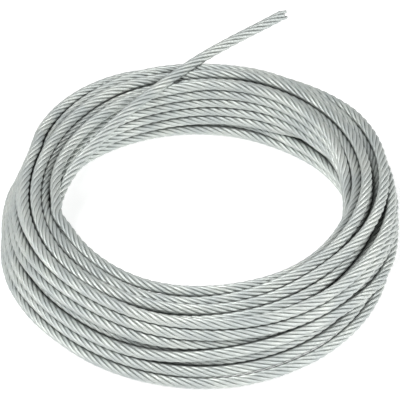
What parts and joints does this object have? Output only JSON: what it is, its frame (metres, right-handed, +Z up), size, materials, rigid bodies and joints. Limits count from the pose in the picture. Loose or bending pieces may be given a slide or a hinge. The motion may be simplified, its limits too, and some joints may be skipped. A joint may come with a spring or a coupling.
{
  "type": "coil of wire rope",
  "caption": "Loose round coil of bare galvanised steel wire rope lying flat, with one cut end leaving the top and sticking out past the back.",
  "frame": {"origin": "the coil's axis, at the level of the floor that it lies on", "axes": "+Z up along the coil's axis; +Y towards the back, where the cut end sticks out; +X to the right in the picture"},
  "size_m": [0.1488, 0.1734, 0.0267],
  "materials": {
    "galvanised_wire": "zinc-coated drawn steel wire, semi-bright, laid in strands"
  },
  "bodies": {
    "root": {"coiled_turns": "galvanised_wire", "free_end": "galvanised_wire"}
  },
  "joints": []
}
